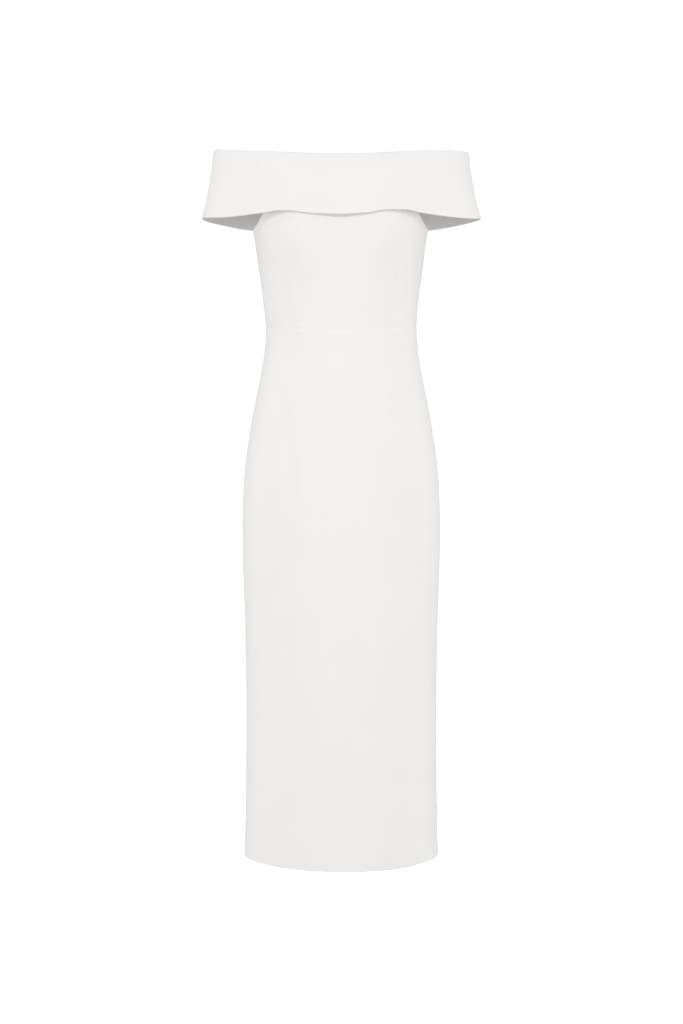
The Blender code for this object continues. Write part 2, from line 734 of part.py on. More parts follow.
def zip_slider(mat):
    """Slider: a back plate, two posts and the pin between them, as one solid cut from a side outline."""
    pin = pin_place()
    lean = math.radians(SLIDER_LEAN)
    face = -PIN_OFF + SEAM + 0.0002
    plate = (face, face + SLIDER_THICK)
    half = SLIDER_WIDE / 2
    post = 0.0008
    sides = 12
    verts = []
    faces = []

    def lean_out(x, y, z):
        c = math.cos(lean)
        s = math.sin(lean)
        return (pin[0] + x, pin[1] + y * c - z * s, pin[2] + y * s + z * c)

    # Side outline of plate and post together, from the plate's low corner round to its top
    tall = SLIDER_TALL / 2
    outline_plate = [(plate[0], -tall), (plate[1], -tall * 0.92), (plate[1], -0.0016)]
    cap = [(0.0013 * math.cos(a), 0.0013 * math.sin(a))
           for a in np.linspace(-math.pi * 0.42, math.pi * 0.42, 7)]
    outline_post = outline_plate + cap + [(plate[1], 0.0016), (plate[1], tall * 0.92), (plate[0], tall)]
    outline_mid = outline_plate + [(plate[1], -0.0010), (plate[1], -0.0006), (plate[1], -0.0002), (plate[1], 0.0),
                                   (plate[1], 0.0002), (plate[1], 0.0006), (plate[1], 0.0010)]
    outline_mid += [(plate[1], 0.0016), (plate[1], tall * 0.92), (plate[0], tall)]
    bm = bmesh.new()

    def slab(outline, x0, x1):
        a = [bm.verts.new(lean_out(x0, y, z)) for y, z in outline]
        b = [bm.verts.new(lean_out(x1, y, z)) for y, z in outline]
        n = len(outline)
        for i in range(n):
            j = (i + 1) % n
            bm.faces.new((a[i], a[j], b[j], b[i]))
        return a, b

    # Outer posts, middle plate and the pin are joined by shared rings of points
    flat = outline_plate + [(plate[1], 0.0016), (plate[1], tall * 0.92), (plate[0], tall)]
    a0, a1 = slab(outline_post, -half, -half + post)
    c0, c1 = slab(outline_post, half - post, half)
    bm.faces.new(a0)
    bm.faces.new(c1)
    m = len(flat)
    left_flat = a1[:3] + a1[-3:]
    right_flat = c0[:3] + c0[-3:]
    for i in range(m):
        j = (i + 1) % m
        bm.faces.new((left_flat[i], left_flat[j], right_flat[j], right_flat[i]))
    ring_a = [bm.verts.new(lean_out(-half + post, PIN_RADIUS * math.cos(2 * math.pi * i / sides),
                                    PIN_RADIUS * math.sin(2 * math.pi * i / sides))) for i in range(sides)]
    ring_b = [bm.verts.new(lean_out(half - post, PIN_RADIUS * math.cos(2 * math.pi * i / sides),
                                    PIN_RADIUS * math.sin(2 * math.pi * i / sides))) for i in range(sides)]
    for i in range(sides):
        j = (i + 1) % sides
        bm.faces.new((ring_a[i], ring_a[j], ring_b[j], ring_b[i]))
    for posts, ring in ((a1, ring_a), (c0, ring_b)):
        loop = posts[2:-2]
        outer_edges = [bm.edges.get((loop[i], loop[i + 1])) for i in range(len(loop) - 1)]
        closing = bm.edges.get((loop[0], loop[-1])) or bm.edges.new((loop[0], loop[-1]))
        inner_edges = [bm.edges.get((ring[i], ring[(i + 1) % sides])) for i in range(sides)]
        edges = [e for e in outer_edges if e] + [closing] + inner_edges
        bmesh.ops.triangle_fill(bm, edges=edges, use_beauty=True)
    bm.verts.index_update()
    verts = [tuple(v.co) for v in bm.verts]
    faces = [tuple(v.index for v in f.verts) for f in bm.faces]
    bm.free()
    obj = finish("zip_slider", verts, faces, mat)
    mark_edges(obj)
    return obj


def zip_pull(mat):
    """Pull tab: a drop-shaped leaf with an eye round the slider's pin."""
    pin = pin_place()
    lean = math.radians(TAB_LEAN)
    half = 0.0012
    sides = 24
    bm = bmesh.new()
    c = math.cos(lean)
    s = math.sin(lean)

    def place(x, y, z):
        return (pin[0] + x, pin[1] + y * c - z * s, pin[2] + y * s + z * c)

    # Stations down the leaf: distance below the pin, half width, half thickness
    stations = [(0.0016, half, TAB_THICK / 2), (0.0035, half * 1.05, TAB_THICK / 2),
                (0.0065, 0.0017, TAB_THICK / 2), (0.0110, 0.0023, TAB_THICK / 2),
                (0.0150, TAB_WIDE / 2, TAB_THICK / 2), (0.0180, 0.0021, TAB_THICK / 2),
                (0.0194, 0.0012, TAB_THICK * 0.42), (TAB_LONG, 0.0004, TAB_THICK * 0.30)]
    # The eye is a ring whose lowest edges open into the leaf's first station
    spread = [2 * math.pi * i / sides - math.pi / 2 for i in range(sides)]
    rings = {}
    for x in (-half, half):
        rings[(x, "out")] = [bm.verts.new(place(x, EYE_OUTER * math.cos(a), EYE_OUTER * math.sin(a))) for a in spread]
        rings[(x, "in")] = [bm.verts.new(place(x, EYE_HOLE * math.cos(a), EYE_HOLE * math.sin(a))) for a in spread]
    open_at = (sides - 1, 0)
    for i in range(sides):
        j = (i + 1) % sides
        bm.faces.new((rings[(-half, "in")][i], rings[(-half, "in")][j], rings[(half, "in")][j], rings[(half, "in")][i]))
        for x in (-half, half):
            bm.faces.new((rings[(x, "out")][i], rings[(x, "out")][j], rings[(x, "in")][j], rings[(x, "in")][i]))
        if i not in open_at:
            bm.faces.new((rings[(-half, "out")][i], rings[(-half, "out")][j],
                          rings[(half, "out")][j], rings[(half, "out")][i]))
    # Leaf: boxes from the eye's open window down to the tip, four points a station
    window = [rings[(-half, "out")][open_at[0]], rings[(half, "out")][open_at[0]],
              rings[(half, "out")][1], rings[(-half, "out")][1]]
    middles = [rings[(half, "out")][0], rings[(-half, "out")][0]]
    loops = []
    for down, wide, thick in stations[1:]:
        loops.append([bm.verts.new(place(-wide, -thick, -down)), bm.verts.new(place(wide, -thick, -down)),
                      bm.verts.new(place(wide, 0.0, -down)), bm.verts.new(place(wide, thick, -down)),
                      bm.verts.new(place(-wide, thick, -down)), bm.verts.new(place(-wide, 0.0, -down))])
    first = [window[0], window[1], middles[0], window[2], window[3], middles[1]]
    chain = [first] + loops
    for a, b in zip(chain, chain[1:]):
        for i in range(6):
            j = (i + 1) % 6
            bm.faces.new((a[i], a[j], b[j], b[i]))
    bm.faces.new(chain[-1])
    bm.verts.index_update()
    verts = [tuple(v.co) for v in bm.verts]
    faces = [tuple(v.index for v in f.verts) for f in bm.faces]
    bm.free()
    obj = finish("zip_pull_tab", verts, faces, mat, origin=tuple(pin))
    mark_edges(obj)
    return obj


for old in list(bpy.data.objects):
    bpy.data.objects.remove(old)

crepe = {}
for piece in ("bodice_front_centre", "bodice_front_left", "bodice_front_right", "bodice_back_left",
              "bodice_back_right", "skirt_front", "skirt_back_left", "skirt_back_right",
              "band_front", "band_back_left", "band_back_right"):
    crepe[piece] = material(piece + "_crepe", IVORY, 0.82)
tape_white = material("zip_tape_weave", TAPE_WHITE, 0.75)
slider_white = material("zip_slider_enamel", METAL_WHITE, 0.35)
pull_white = material("zip_pull_enamel", METAL_WHITE, 0.33)

body_wall("bodice_front_centre", bodice_centre(), crepe["bodice_front_centre"])
for word, side in (("left", 1), ("right", -1)):
    body_wall("bodice_front_" + word, bodice_side(side), crepe["bodice_front_" + word])
    body_wall("bodice_back_" + word, bodice_back(side), crepe["bodice_back_" + word])
    body_wall("skirt_back_" + word, skirt_back(side), crepe["skirt_back_" + word])
body_wall("skirt_front", skirt_front(), crepe["skirt_front"])
seam_part = SEAM / 2 / 0.29
zip_part = ZIP_SPACE / 2 / 0.29
band_wall("band_front", -1 + seam_part, 1 - seam_part, BAND_FRONT_COLUMNS, crepe["band_front"])
band_wall("band_back_left", 1 + seam_part, 2 - zip_part, BAND_BACK_COLUMNS, crepe["band_back_left"])
band_wall("band_back_right", -2 + zip_part, -1 - seam_part, BAND_BACK_COLUMNS, crepe["band_back_right"])
zip_tape(tape_white)
zip_slider(slider_white)
zip_pull(pull_white)
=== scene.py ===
import math

import bmesh
import bpy
import numpy as np
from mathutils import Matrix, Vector


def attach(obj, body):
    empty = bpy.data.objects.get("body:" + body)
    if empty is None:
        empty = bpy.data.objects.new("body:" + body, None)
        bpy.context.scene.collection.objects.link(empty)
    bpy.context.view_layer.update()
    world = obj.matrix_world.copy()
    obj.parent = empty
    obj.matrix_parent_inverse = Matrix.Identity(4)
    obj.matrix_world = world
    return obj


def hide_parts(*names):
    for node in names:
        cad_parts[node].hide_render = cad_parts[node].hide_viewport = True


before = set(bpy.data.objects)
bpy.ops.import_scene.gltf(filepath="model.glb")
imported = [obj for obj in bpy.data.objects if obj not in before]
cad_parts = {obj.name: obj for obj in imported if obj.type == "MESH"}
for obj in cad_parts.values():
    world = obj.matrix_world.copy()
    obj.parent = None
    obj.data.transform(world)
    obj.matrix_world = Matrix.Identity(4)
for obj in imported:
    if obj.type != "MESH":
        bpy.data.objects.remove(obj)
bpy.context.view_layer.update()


# Bodice centre front: a panel of smooth ivory crepe between the two side front seams.
# It is sewn to the side fronts, to the skirt at the waist and to the band inside its fold.
# The sections, seams and soft folds that the whole dress is cut to are set out with it.
BODY_COLUMNS = ("level", "half", "front", "back", "square", "shift")
BODY_SECTIONS = [
    (0.1300, 0.2110, 0.1029, 0.0862, 2.30, 0.0000),
    (0.1180, 0.2100, 0.1041, 0.0869, 2.30, 0.0000),
    (0.0900, 0.1860, 0.1090, 0.0884, 2.27, 0.0000),
    (0.0600, 0.1680, 0.1132, 0.0895, 2.24, 0.0000),
    (0.0300, 0.1550, 0.1158, 0.0900, 2.21, -0.0006),
    (0.0000, 0.1466, 0.1162, 0.0896, 2.18, -0.0010),
    (-0.0351, 0.1417, 0.1134, 0.0880, 2.16, -0.0013),
    (-0.0618, 0.1380, 0.1090, 0.0866, 2.14, -0.0011),
    (-0.0886, 0.1342, 0.1044, 0.0852, 2.12, -0.0010),
    (-0.1154, 0.1307, 0.1004, 0.0840, 2.11, -0.0011),
    (-0.1422, 0.1279, 0.0972, 0.0830, 2.10, -0.0006),
    (-0.1640, 0.1264, 0.0952, 0.0826, 2.10, 0.0000),
    (-0.1960, 0.1286, 0.0965, 0.0872, 2.10, 0.0000),
    (-0.2498, 0.1374, 0.1005, 0.1016, 2.12, 0.0000),
    (-0.3038, 0.1483, 0.1040, 0.1142, 2.14, 0.0000),
    (-0.3579, 0.1574, 0.1064, 0.1212, 2.16, 0.0000),
    (-0.4120, 0.1641, 0.1080, 0.1236, 2.18, 0.0000),
    (-0.4392, 0.1659, 0.1086, 0.1234, 2.18, 0.0000),
    (-0.5000, 0.1674, 0.1097, 0.1216, 2.18, 0.0000),
    (-0.5479, 0.1669, 0.1105, 0.1197, 2.18, 0.0000),
    (-0.6024, 0.1653, 0.1114, 0.1179, 2.18, 0.0000),
    (-0.6845, 0.1629, 0.1127, 0.1160, 2.18, 0.0000),
    (-0.8217, 0.1618, 0.1146, 0.1144, 2.14, 0.0000),
    (-0.9043, 0.1624, 0.1162, 0.1140, 2.10, 0.0000),
    (-1.0149, 0.1645, 0.1182, 0.1146, 2.03, 0.0000),
    (-1.0700, 0.1664, 0.1192, 0.1152, 2.00, 0.0000),
]
# Heights of the edges on the right and left of the dress, by distance from the middle line
FOLD_FRONT = [(0.0, 0.1164, 0.1164), (0.0450, 0.1173, 0.1176), (0.0850, 0.1193, 0.1200),
              (0.1130, 0.1214, 0.1220), (0.1530, 0.1240, 0.1246), (0.1840, 0.1272, 0.1264),
              (0.2040, 0.1306, 0.1272), (0.2132, 0.1326, 0.1276)]
FOLD_BACK = [(0.0, 0.1190, 0.1190), (0.0800, 0.1206, 0.1206), (0.1300, 0.1236, 0.1232),
             (0.1700, 0.1272, 0.1258), (0.2000, 0.1312, 0.1273), (0.2132, 0.1326, 0.1276)]
WAIST_FRONT = [(0.0, -0.1660, -0.1660), (0.0700, -0.1652, -0.1650), (0.1264, -0.1640, -0.1618)]
WAIST_BACK = -0.1640
PRINCESS = [(0.125, 0.0900), (0.080, 0.0965), (0.026, 0.1012), (-0.016, 0.0996),
            (-0.066, 0.0930), (-0.117, 0.0818), (-0.170, 0.0715)]
LOWEST = -1.070
HIGHEST = 0.130
UNDERARM = 0.0
NECK = 0.118
BELOW_FOLD = 0.0018
SEAM_SPACE = 0.00002      # the sewn panels meet edge to edge
SEAM_WIDTH = 0.0012
SEAM_DEPTH = 0.00032
SIDE_FRONT_DEPTH = 0.00015
DART_DEPTH = 0.00022
CREPE_THICK = 0.0010
CREPE_EDGE = 0.00012
# Cuts that shape the panels besides their seams: distance at top and foot, level of top and foot
FRONT_DART = ((-0.164, 0.0715), (-0.255, 0.0788))
BACK_DART = ((-0.164, 0.0640), (-0.290, 0.0720))
BODICE_BACK_DART = ((-0.164, 0.0640), (-0.035, 0.0760))
# Soft folds: side (1 left, -1 right, 0 both), distance, level, spread across and down, lean, height
FRONT_FOLDS = [
    (0, 0.0760, -0.004, 0.040, 0.052, 0.00, 0.0052),
    (0, 0.0000, 0.000, 0.030, 0.060, 0.00, -0.0020),
    (0, 0.1300, -0.050, 0.013, 0.034, 0.00, -0.0022),
    (0, 0.0785, -0.285, 0.016, 0.045, 0.00, 0.0022),
    (-1, 0.0880, -0.400, 0.012, 0.070, 0.00, -0.0018),
    (1, 0.1030, -0.330, 0.011, 0.040, 0.00, -0.0016),
    (-1, 0.0640, -0.420, 0.014, 0.075, 0.00, 0.0012),
    # small drags from the underarm, over the ribs and at the waist's sides
    (-1, 0.1180, -0.030, 0.007, 0.026, 0.35, 0.0006),
    (1, 0.1160, -0.036, 0.006, 0.030, 0.30, 0.0007),
    (1, 0.1240, -0.078, 0.006, 0.022, 0.20, -0.0005),
    (-1, 0.1090, -0.120, 0.016, 0.0045, 0.00, -0.0004),
    (1, 0.1060, -0.133, 0.018, 0.0040, 0.00, 0.0004),
    (-1, 0.1020, -0.146, 0.020, 0.0045, 0.00, 0.0004),
    (1, 0.1050, -0.187, 0.018, 0.0050, 0.00, 0.0004),
    (-1, 0.1080, -0.205, 0.016, 0.0060, 0.00, -0.0004),
    # long soft lines that the skirt falls in
    (-1, 0.1180, -0.520, 0.010, 0.120, 0.02, -0.0009),
    (1, 0.0930, -0.560, 0.012, 0.140, -0.03, -0.0010),
    (-1, 0.0420, -0.640, 0.015, 0.160, 0.02, 0.0009),
    (1, 0.0350, -0.700, 0.014, 0.150, 0.02, -0.0008),
    (-1, 0.0900, -0.830, 0.013, 0.170, -0.02, -0.0011),
    (1, 0.0780, -0.900, 0.015, 0.150, 0.03, 0.0010),
    (1, 0.1280, -0.870, 0.009, 0.130, 0.01, -0.0010),
    (-1, 0.0120, -0.930, 0.016, 0.120, 0.00, -0.0008),
]
BACK_FOLDS = [
    (0, 0.0730, -0.300, 0.018, 0.045, 0.00, 0.0020),
    (0, 0.0000, -0.060, 0.022, 0.090, 0.00, -0.0012),
    (-1, 0.0900, -0.010, 0.008, 0.030, 0.30, 0.0006),
    (1, 0.1020, -0.028, 0.007, 0.026, 0.35, 0.0006),
    (1, 0.0700, -0.142, 0.026, 0.0050, 0.00, 0.0006),
    (-1, 0.0800, -0.150, 0.024, 0.0045, 0.00, 0.0006),
    (-1, 0.0500, -0.190, 0.022, 0.0060, 0.00, -0.0005),
    (1, 0.0460, -0.198, 0.020, 0.0050, 0.00, 0.0005),
    (-1, 0.0850, -0.470, 0.012, 0.090, 0.00, -0.0014),
    (1, 0.0990, -0.440, 0.011, 0.080, 0.00, -0.0013),
    (1, 0.0420, -0.560, 0.014, 0.120, 0.00, 0.0011),
    (-1, 0.0300, -0.650, 0.015, 0.150, 0.02, -0.0010),
    (1, 0.0900, -0.790, 0.013, 0.160, 0.02, -0.0012),
    (-1, 0.1000, -0.860, 0.012, 0.150, -0.02, 0.0011),
    (1, 0.0300, -0.940, 0.012, 0.110, 0.00, 0.0010),
]


def smooth_line(pairs):
    """A smooth line through a short table that never swings past its rows."""
    pairs = sorted(pairs)
    x = np.array([p[0] for p in pairs], float)
    y = np.array([p[1] for p in pairs], float)
    h = np.diff(x)
    slope = np.diff(y) / h
    d = np.zeros(len(x))
    d[0] = slope[0]
    d[-1] = slope[-1]
    for i in range(1, len(x) - 1):
        if slope[i - 1] * slope[i] > 0:
            w1 = 2 * h[i] + h[i - 1]
            w2 = h[i] + 2 * h[i - 1]
            d[i] = (w1 + w2) / (w1 / slope[i - 1] + w2 / slope[i])

    def at(v):
        v = np.clip(v, x[0], x[-1])
        i = np.clip(np.searchsorted(x, v, side="right") - 1, 0, len(x) - 2)
        t = (v - x[i]) / h[i]
        rise = (1 + 2 * t) * (1 - t) ** 2 * y[i] + t * (1 - t) ** 2 * h[i] * d[i]
        return rise + t * t * (3 - 2 * t) * y[i + 1] + t * t * (t - 1) * h[i] * d[i + 1]

    return at


def edge_line(rows):
    """Height of an edge across the dress, from a table with a column for each side."""
    right = smooth_line([(r[0], r[1]) for r in rows])
    left = smooth_line([(r[0], r[2]) for r in rows])
    return lambda x: np.where(x >= 0, left(np.abs(x)), right(np.abs(x)))


class Form:
    """Sections of the dress, worked out once for each level and read off at any place on them."""

    def __init__(self, names, rows, lowest, highest, steps):
        line = {n: smooth_line([(r[0], r[i]) for r in rows]) for i, n in enumerate(names) if i}
        self.lowest = lowest
        self.step = (highest - lowest) / steps
        levels = np.linspace(lowest, highest, steps + 1)
        self.places = 400
        turn = np.linspace(0.0, math.pi / 2, 481)
        self.table = np.zeros((2, steps + 1, self.places + 1, 2))
        self.way = np.zeros((2, steps + 1))
        for k, level in enumerate(levels):
            half = line["half"](level)
            square = line["square"](level)
            for s, depth in enumerate((line["front"](level), line["back"](level))):
                x = half * np.sin(turn) ** (2 / square)
                y = depth * np.maximum(np.cos(turn), 0.0) ** (2 / square)
                run = np.concatenate([[0.0], np.cumsum(np.hypot(np.diff(x), np.diff(y)))])
                even = np.linspace(0, run[-1], self.places + 1)
                self.table[s, k, :, 0] = np.interp(even, run, x)
                self.table[s, k, :, 1] = np.interp(even, run, y) * (1 if s else -1)
                self.way[s, k] = run[-1]
        self.shift = line.get("shift")

    def point(self, q, level):
        """Across and back at q: 0 centre front, 1 left side, 2 centre back, below 0 on the right."""
        q = np.asarray(q, float)
        side = np.where(q >= 0, 1.0, -1.0)
        a = np.abs(q)
        back = (a > 1).astype(int)
        r = np.clip(np.where(back, 2 - a, a), 0, 1) * self.places
        k = np.clip((level - self.lowest) / self.step, 0, self.table.shape[1] - 1.001)
        ki = k.astype(int)
        ri = np.minimum(r.astype(int), self.places - 1)
        kf = (k - ki)[..., None]
        rf = (r - ri)[..., None]
        low = self.table[back, ki, ri] * (1 - rf) + self.table[back, ki, ri + 1] * rf
        high = self.table[back, ki + 1, ri] * (1 - rf) + self.table[back, ki + 1, ri + 1] * rf
        p = low * (1 - kf) + high * kf
        return p[..., 0] * side, p[..., 1]

    def round(self, q, level):
        """Length of a quarter of the section."""
        back = (np.abs(q) > 1).astype(int)
        k = np.clip((level - self.lowest) / self.step, 0, self.table.shape[1] - 1).astype(int)
        return self.way[back, k]

    def place(self, level, x, front=True):
        """How far round the section a distance from the middle line is."""
        level, x = np.broadcast_arrays(np.asarray(level, float), np.asarray(x, float))
        out = np.zeros(level.shape)
        s = 0 if front else 1
        for i in np.ndindex(level.shape):
            k = int(np.clip((level[i] - self.lowest) / self.step, 0, self.table.shape[1] - 1))
            out[i] = np.interp(x[i], self.table[s, k, :, 0], np.linspace(0, 1, self.places + 1))
        return out if front else 2 - out


body_form = Form(BODY_COLUMNS, BODY_SECTIONS, LOWEST, HIGHEST, 800)
fold_front = edge_line(FOLD_FRONT)
fold_back = edge_line(FOLD_BACK)
waist_front = edge_line(WAIST_FRONT)
levels_all = np.linspace(LOWEST, HIGHEST, 241)


def place_line(x_at, front=True):
    """A cut or seam's place round the dress at any level, from its distance from the middle line."""
    line = body_form.place(levels_all, x_at(levels_all), front)
    return lambda z: np.interp(z, levels_all, line)


princess_q = place_line(smooth_line(PRINCESS))


def dart_q(dart, front):
    (top, x_top), (foot, x_foot) = dart
    return place_line(lambda z: np.interp(z, sorted((top, foot)), [x for _, x in sorted(dart)]), front)


front_dart_q = dart_q(FRONT_DART, True)
back_dart_q = dart_q(BACK_DART, False)
bodice_back_dart_q = dart_q(BODICE_BACK_DART, False)


def waist_level(q):
    """Level of the waist seam round the dress."""
    q = np.asarray(q, float)
    x, _ = body_form.point(q, np.full(q.shape, WAIST_BACK))
    side = waist_front(np.copysign(0.1264, q))
    behind = WAIST_BACK + (side - WAIST_BACK) * (2 - np.abs(q)) ** 2
    return np.where(np.abs(q) <= 1, waist_front(x), behind)


def groove(distance, width, depth):
    return -depth * np.exp(-(distance / width) ** 2)


def sewn_relief(q, z):
    """How the cloth stands in or out at its seams, darts, pressed allowances and turned-up hem."""
    way = body_form.round(q, z)
    a = np.abs(q)
    total = np.zeros(q.shape)
    bodice = z > waist_level(q)
    # side seams and the centre back run the whole length
    for line in (1.0, 2.0):
        d = np.abs(a - line) * way
        total += groove(d, SEAM_WIDTH, SEAM_DEPTH) + 0.00012 * np.exp(-((d - 0.0050) / 0.0040) ** 2)
    # side front seams of the bodice
    d = np.abs(a - princess_q(z)) * way
    seam = groove(d, SEAM_WIDTH, SIDE_FRONT_DEPTH) + 0.00008 * np.exp(-((d - 0.0050) / 0.0038) ** 2)
    total += np.where(bodice & (a <= 1), seam, 0.0)
    # darts, which fade out at their points
    for dart, line, front in ((FRONT_DART, front_dart_q, True), (BACK_DART, back_dart_q, False),
                              (BODICE_BACK_DART, bodice_back_dart_q, False)):
        (top, _), (foot, _) = dart
        along = np.clip((z - top) / (foot - top), -1, 2)
        inside = (along >= -0.02) & (along <= 1.0) & ((a <= 1) == front)
        fade = np.clip((1.0 - along) / 0.22, 0, 1)
        d = np.abs(a - line(z)) * way
        cut = groove(d, SEAM_WIDTH, DART_DEPTH) + 0.00014 * np.exp(-((d - 0.0034) / 0.0028) ** 2)
        total += np.where(inside, cut * fade, 0.0)
        tip = np.exp(-(d / 0.006) ** 2 - ((z - foot) / 0.010) ** 2) * 0.0004
        total += np.where((a <= 1) == front, tip, 0.0)
    # waist seam, with its allowance pressed down under the skirt
    w = z - waist_level(q)
    total += groove(np.abs(w), SEAM_WIDTH, SEAM_DEPTH)
    total += 0.00045 * np.clip((-w - 0.0006) / 0.0018, 0, 1) * np.clip((w + 0.0112) / 0.0022, 0, 1)
    return total


def fold_relief(x, z, q):
    """Soft troughs and ridges that the cloth has settled in."""
    total = np.zeros(x.shape)
    for front, rows in ((True, FRONT_FOLDS), (False, BACK_FOLDS)):
        here = (np.abs(q) <= 1) == front
        for side, mid, level, across, down, lean, height in rows:
            sided = here if side == 0 else here & (side * x >= 0)
            off = np.abs(x) - mid - lean * (z - level)
            h = height * np.exp(-(off / across) ** 2 - ((z - level) / down) ** 2)
            total += np.where(sided, h, 0.0)
    # the faint unevenness of steamed cloth
    total += 0.00016 * np.sin(31 * x + 5.1 * np.sin(9 * z)) * np.sin(17 * z + 1.3)
    total += 0.00010 * np.sin(67 * x + 23 * z + 0.7) * np.sin(41 * z - 11 * x)
    return total


def body_surface(q, z):
    """Points on the outside of the dress."""
    x, y = body_form.point(q, z)
    shift = body_form.shift(z)
    h = fold_relief(x + shift, z, q) + sewn_relief(q, z)
    out = np.stack([x * 0.5, y, np.zeros_like(x)], -1)
    out /= np.linalg.norm(out, axis=-1, keepdims=True)
    return np.stack([x + shift, y, z], -1) + out * h[..., None]


def stops(count, near_low=(), near_high=()):
    """Even steps from 0 to 1 with closer ones beside the ends, where a seam or an edge is."""
    first = [0.0] + [n for n in near_low]
    last = [1.0 - n for n in near_high][::-1] + [1.0]
    inner = np.linspace(first[-1], last[0], count + 1)
    return np.concatenate([first[:-1], inner, last[1:]])


def cut_panel(name, across, up, lay):
    """A panel of cloth: an even grid whose squares are laid on the dress by lay(across, up)."""
    bm = bmesh.new()
    bmesh.ops.create_grid(bm, x_segments=len(across) - 1, y_segments=len(up) - 1, size=0.5)
    bm.verts.ensure_lookup_table()
    flat = np.array([v.co[:2] for v in bm.verts])
    i = np.rint((flat[:, 0] + 0.5) * (len(across) - 1)).astype(int)
    j = np.rint((flat[:, 1] + 0.5) * (len(up) - 1)).astype(int)
    places = lay(across[i], up[j])
    for v, p in zip(bm.verts, places.tolist()):
        v.co = p
    for f in bm.faces:
        f.smooth = True
    mesh = bpy.data.meshes.new(name)
    bm.to_mesh(mesh)
    bm.free()
    piece = bpy.data.objects.new(name, mesh)
    bpy.context.scene.collection.objects.link(piece)
    return piece


def flip_if_inward(piece):
    """Faces of an open panel are turned to point away from the dress's middle line."""
    mesh = piece.data
    count = len(mesh.polygons)
    normals = np.zeros(count * 3)
    middles = np.zeros(count * 3)
    mesh.polygons.foreach_get("normal", normals)
    mesh.polygons.foreach_get("center", middles)
    outward = (normals.reshape(-1, 3) * middles.reshape(-1, 3) * (1, 1, 0)).sum()
    if outward < 0:
        mesh.flip_normals()


def give_thickness(piece, thick, edge):
    """The cloth's own thickness, inwards, with its cut edges softened."""
    flip_if_inward(piece)
    wall = piece.modifiers.new("cloth thickness", "SOLIDIFY")
    wall.thickness = thick
    wall.offset = -1.0
    soft = piece.modifiers.new("softened edges", "BEVEL")
    soft.width = edge
    soft.segments = 2
    soft.limit_method = "ANGLE"
    soft.angle_limit = math.radians(60)
    soft.harden_normals = False


def crepe(name):
    """Matt ivory-white crepe: a fine pebbled weave with a soft bloom of loose fibre."""
    mat = bpy.data.materials.new(name)
    mat.use_nodes = True
    nodes = mat.node_tree.nodes
    links = mat.node_tree.links
    shader = nodes["Principled BSDF"]
    place = nodes.new("ShaderNodeTexCoord")
    pebble = nodes.new("ShaderNodeTexNoise")
    pebble.inputs["Scale"].default_value = 1050.0
    pebble.inputs["Detail"].default_value = 3.0
    pebble.inputs["Roughness"].default_value = 0.60
    stretch = nodes.new("ShaderNodeMapping")
    stretch.inputs["Scale"].default_value = (1.0, 1.0, 0.62)
    links.new(place.outputs["Object"], stretch.inputs["Vector"])
    links.new(stretch.outputs["Vector"], pebble.inputs["Vector"])
    cloudy = nodes.new("ShaderNodeTexNoise")
    cloudy.inputs["Scale"].default_value = 14.0
    cloudy.inputs["Detail"].default_value = 3.0
    links.new(place.outputs["Object"], cloudy.inputs["Vector"])
    shades = nodes.new("ShaderNodeValToRGB")
    shades.color_ramp.elements[0].position = 0.30
    shades.color_ramp.elements[1].position = 0.72
    shades.color_ramp.elements[0].color = (0.796, 0.787, 0.772, 1)
    shades.color_ramp.elements[1].color = (0.808, 0.799, 0.784, 1)
    links.new(cloudy.outputs["Fac"], shades.inputs["Fac"])
    fleck = nodes.new("ShaderNodeMixRGB")
    fleck.blend_type = "MULTIPLY"
    fleck.inputs["Fac"].default_value = 0.05
    links.new(shades.outputs["Color"], fleck.inputs["Color1"])
    links.new(pebble.outputs["Fac"], fleck.inputs["Color2"])
    links.new(fleck.outputs["Color"], shader.inputs["Base Color"])
    bump = nodes.new("ShaderNodeBump")
    bump.inputs["Strength"].default_value = 0.45
    bump.inputs["Distance"].default_value = 0.0003
    links.new(pebble.outputs["Fac"], bump.inputs["Height"])
    links.new(bump.outputs["Normal"], shader.inputs["Normal"])
    shader.inputs["Roughness"].default_value = 0.80
    shader.inputs["Specular IOR Level"].default_value = 0.30
    shader.inputs["Sheen Weight"].default_value = 0.10
    shader.inputs["Sheen Roughness"].default_value = 0.45
    return mat


def neck_level(q, front=True):
    """Top of the bodice, just under the band's fold."""
    z = np.full(np.shape(q), NECK)
    for _ in range(3):
        x, _ = body_form.point(q, z)
        z = (fold_front if front else fold_back)(x) - BELOW_FOLD
    return z


def sew_on(piece, node):
    """The finished panel rides on the dress and stands in for its node, which is hidden."""
    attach(piece, "dress")
    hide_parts(node)


EDGE_NEAR = (0.0007, 0.0015, 0.0026, 0.0042, 0.0064, 0.0092)


def near(length, marks=EDGE_NEAR):
    return tuple(m / length for m in marks)


def lay_centre(s, t):
    """Centre front: across between the side front seams, up from the waist seam to the neckline."""
    side = 2 * s - 1
    low = waist_level(side * princess_q(WAIST_BACK)) + SEAM_SPACE / 2
    high = neck_level(side * princess_q(0.116))
    z = low + (high - low) * t
    edge = princess_q(z) - SEAM_SPACE / 2 / body_form.round(np.zeros_like(z), z)
    return body_surface(side * edge, z)


centre = cut_panel("bodice_centre", stops(64, near(0.200), near(0.200)),
                   stops(90, near(0.282), near(0.282)), lay_centre)
centre.data.materials.append(crepe("crepe, bodice centre front"))
give_thickness(centre, CREPE_THICK, CREPE_EDGE)
sew_on(centre, "bodice_front_centre")


